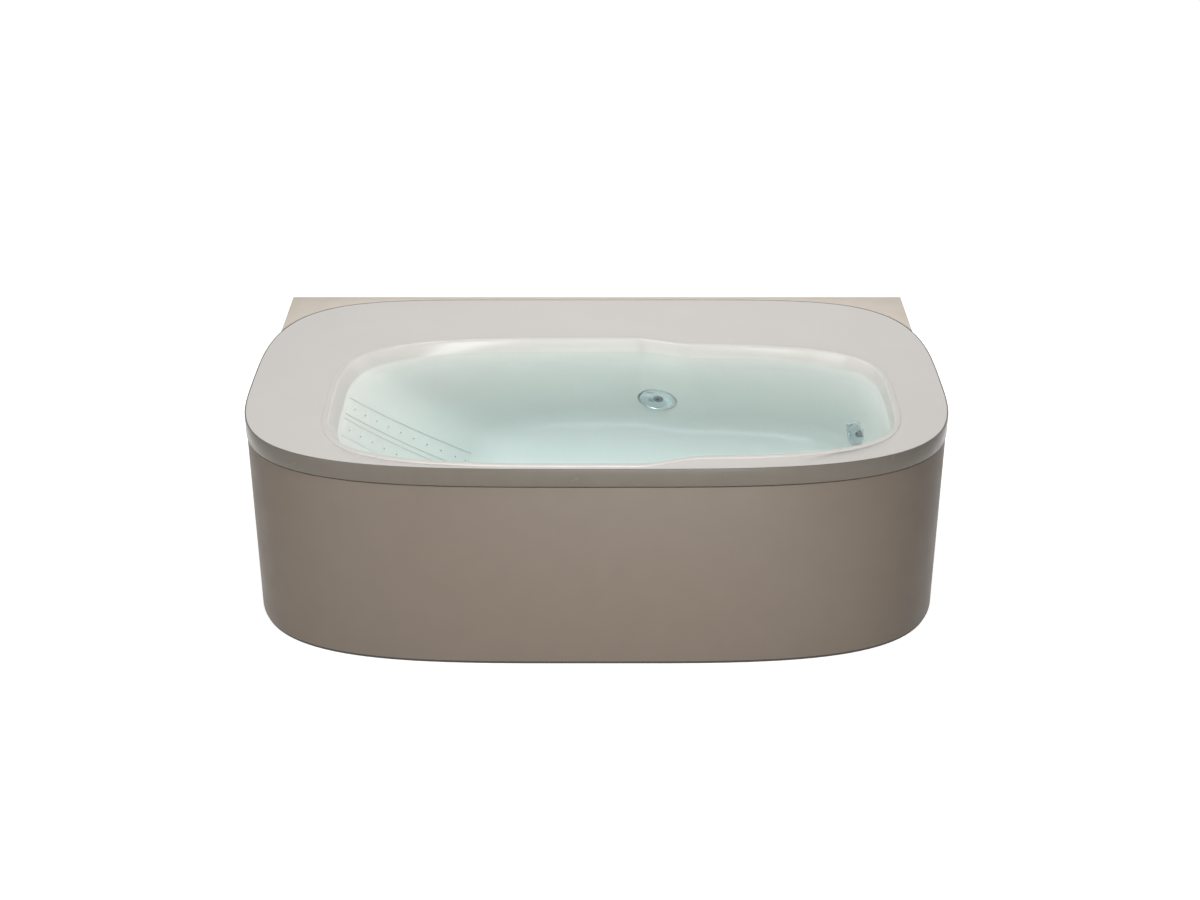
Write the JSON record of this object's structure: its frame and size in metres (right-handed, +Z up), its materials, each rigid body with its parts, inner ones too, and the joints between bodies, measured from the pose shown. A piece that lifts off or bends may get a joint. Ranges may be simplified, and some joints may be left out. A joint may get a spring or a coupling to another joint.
{
  "type": "jetted bathtub",
  "caption": "Back-to-wall jetted bathtub: wide oval deck with an edge band, curved skirt, deep basin with turning jets, air strips, pump, blower and drain.",
  "frame": {"origin": "on the floor, at the middle of the bounding box", "axes": "+X along the wall towards the foot end, +Y towards the wall, +Z up"},
  "size_m": [1.9, 1.1, 0.595],
  "materials": {
    "basin_acrylic": "gloss",
    "deck_gloss": "gloss",
    "band_gloss": "gloss",
    "skirt_satin": "satin",
    "plinth_dark": "matte",
    "infill_beige": "matte",
    "board": "matte",
    "galvanised_steel": "satin",
    "zinc_plated": "satin",
    "black_rubber": "matte",
    "chrome": "polished",
    "dark_plastic": "gloss",
    "pipe_white": "satin",
    "hose_grey": "matte",
    "pump_plastic": "matte",
    "rotor_steel": "satin",
    "motor_aluminium": "satin",
    "button_cap": "gloss",
    "box_plastic": "matte"
  },
  "bodies": {
    "body": {"basin": "basin_acrylic", "air_strip_back": "basin_acrylic", "air_strip_front": "basin_acrylic", "deck_top": "deck_gloss", "edge_band": "band_gloss", "front_skirt": "skirt_satin", "plinth": "plinth_dark", "infill_top": "infill_beige", "infill_side_left": "infill_beige", "infill_side_right": "infill_beige", "deck_core": "board", "base_board": "board", "wall_rail": "board", "base_frame": "galvanised_steel", "deck_posts": "galvanised_steel", "skirt_brackets": "galvanised_steel", "pump_base": "galvanised_steel", "frame_screws": "zinc_plated", "levelling_studs": "zinc_plated", "lock_nuts": "zinc_plated", "lip_seal": "black_rubber", "foot_pads": "black_rubber", "jet_gaskets": "black_rubber", "waste_seal": "black_rubber", "power_gland": "black_rubber", "waste_flange": "chrome", "suction_grille": "chrome", "button_socket": "chrome", "jet_housings": "pipe_white", "jet_nuts": "pipe_white", "air_channels": "pipe_white", "waste_body": "pipe_white", "drain_pipe": "pipe_white", "overflow_body": "pipe_white", "overflow_pipe": "pipe_white", "suction_body": "pipe_white", "suction_pipe": "pipe_white", "jet_pipes": "pipe_white", "jet_fittings": "pipe_white", "air_hose": "hose_grey", "pump_volute": "pump_plastic", "blower_case": "pump_plastic", "pump_motor": "motor_aluminium", "control_box": "box_plastic"},
    "ring_back": {"jet_rosette_back": "chrome"},
    "ring_front": {"jet_rosette_front": "chrome"},
    "ring_foot_back": {"jet_rosette_foot_back": "chrome"},
    "ring_foot_front": {"jet_rosette_foot_front": "chrome"},
    "nozzle_back": {"jet_ball_back": "dark_plastic"},
    "nozzle_front": {"jet_ball_front": "dark_plastic"},
    "nozzle_foot_back": {"jet_ball_foot_back": "dark_plastic"},
    "nozzle_foot_front": {"jet_ball_foot_front": "dark_plastic"},
    "drain_knob": {"overflow_knob": "chrome"},
    "plug": {"waste_plug": "chrome"},
    "rotor": {"pump_rotor": "rotor_steel"},
    "wheel": {"blower_wheel": "pump_plastic"},
    "button": {"start_button": "button_cap"}
  },
  "joints": [
    {"name": "ring_turn_back", "type": "hinge", "parent": "body", "child": "ring_back", "pos_m": [0.17891, 0.17853, 0.27692], "axis": [-0.3013, -0.8789, 0.3697], "range_deg": [0, 90]},
    {"name": "ring_turn_front", "type": "hinge", "parent": "body", "child": "ring_front", "pos_m": [0.17891, -0.46054, 0.27692], "axis": [-0.3013, 0.8789, 0.3697], "range_deg": [0, 90]},
    {"name": "ring_turn_foot_back", "type": "hinge", "parent": "body", "child": "ring_foot_back", "pos_m": [0.73956, -0.03434, 0.2697], "axis": [-0.8943, -0.1969, 0.4019], "range_deg": [0, 90]},
    {"name": "ring_turn_foot_front", "type": "hinge", "parent": "body", "child": "ring_foot_front", "pos_m": [0.73956, -0.24766, 0.2697], "axis": [-0.8943, 0.1969, 0.4019], "range_deg": [0, 90]},
    {"name": "nozzle_tilt_back", "type": "hinge", "parent": "ring_back", "child": "nozzle_back", "pos_m": [0.17891, 0.17853, 0.27692], "axis": [0.9459, -0.3243, 0], "range_deg": [-12, 12]},
    {"name": "nozzle_tilt_front", "type": "hinge", "parent": "ring_front", "child": "nozzle_front", "pos_m": [0.17891, -0.46054, 0.27692], "axis": [-0.9459, -0.3243, 0], "range_deg": [-12, 12]},
    {"name": "nozzle_tilt_foot_back", "type": "hinge", "parent": "ring_foot_back", "child": "nozzle_foot_back", "pos_m": [0.73956, -0.03434, 0.2697], "axis": [0.215, -0.9766, 0], "range_deg": [-12, 12]},
    {"name": "nozzle_tilt_foot_front", "type": "hinge", "parent": "ring_foot_front", "child": "nozzle_foot_front", "pos_m": [0.73956, -0.24766, 0.2697], "axis": [-0.215, -0.9766, 0], "range_deg": [-12, 12]},
    {"name": "drain_knob_turn", "type": "hinge", "parent": "body", "child": "drain_knob", "pos_m": [0.01468, -0.51306, 0.55086], "axis": [0, 0.9842, 0.1772], "range_deg": [0, 60]},
    {"name": "plug_lift", "type": "slide", "parent": "body", "child": "plug", "axis": [0, 0, 1], "range_m": [0, 0.009]},
    {"name": "pump_spin", "type": "hinge", "parent": "body", "child": "rotor", "pos_m": [-0.58, -0.3, 0.212], "axis": [1, 0, 0], "continuous": true},
    {"name": "blower_spin", "type": "hinge", "parent": "body", "child": "wheel", "pos_m": [-0.7, 0.33, 0.126], "axis": [0, 0, 1], "continuous": true},
    {"name": "button_press", "type": "slide", "parent": "body", "child": "button", "axis": [0.1059, -0.9758, -0.1915], "range_m": [0, 0.003], "stiffness_N_per_m": 400}
  ],
  "couplings": [
    {"joint": "plug_lift", "follows": "drain_knob_turn", "m_per_rad": 0.0085944}
  ]
}
